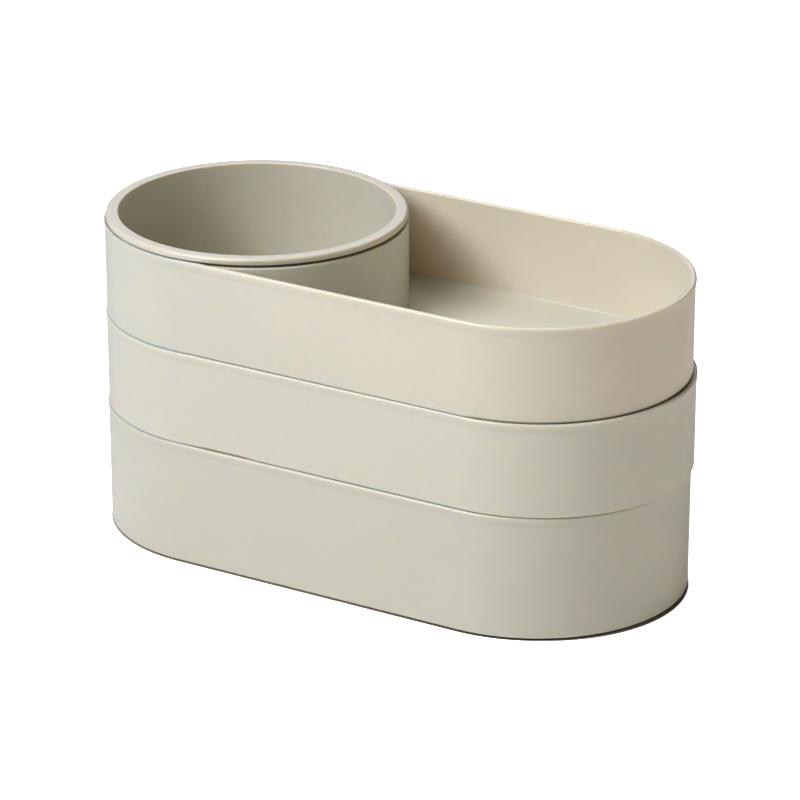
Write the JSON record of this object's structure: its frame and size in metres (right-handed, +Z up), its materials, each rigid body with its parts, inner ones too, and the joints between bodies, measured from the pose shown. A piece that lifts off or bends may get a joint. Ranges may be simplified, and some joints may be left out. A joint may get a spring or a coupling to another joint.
{
  "type": "rotating makeup organizer",
  "caption": "Stack of round-ended plastic trays that swing out about a deep round brush cup, for make-up, brushes and small jewellery on a dressing table.",
  "frame": {"origin": "on the pivot axis, at the underside of the base pad, level with the table", "axes": "+X along the bottom tray from the pivot to its far end, +Z up along the pivot axis, +Y to the back"},
  "size_m": [0.2696, 0.1309, 0.1398],
  "materials": {
    "tray_plastic": "satin moulded, warm light beige",
    "cup_plastic": "satin moulded, warm light beige",
    "bush_plastic": "smooth natural white",
    "ring_rubber": "matt dark",
    "pad_rubber": "matt dark warm grey, fine grain",
    "screw_steel": "bright zinc"
  },
  "bodies": {
    "base": {"bottom_tray": "tray_plastic", "brush_cup": "cup_plastic", "cup_screws": "screw_steel", "base_pad": "pad_rubber", "drag_ring": "ring_rubber"},
    "middle": {"middle_tray": "tray_plastic", "middle_flange_bush": "bush_plastic", "middle_guide_bush": "bush_plastic"},
    "top": {"top_tray": "tray_plastic", "top_flange_bush": "bush_plastic", "top_guide_bush": "bush_plastic"}
  },
  "joints": [
    {"name": "middle_tray_swivel", "type": "hinge", "parent": "base", "child": "middle", "pos_m": [0, 0, 0.0752], "axis": [0, 0, 1], "continuous": true},
    {"name": "top_tray_swivel", "type": "hinge", "parent": "base", "child": "top", "pos_m": [0, 0, 0.1164], "axis": [0, 0, 1], "continuous": true}
  ]
}
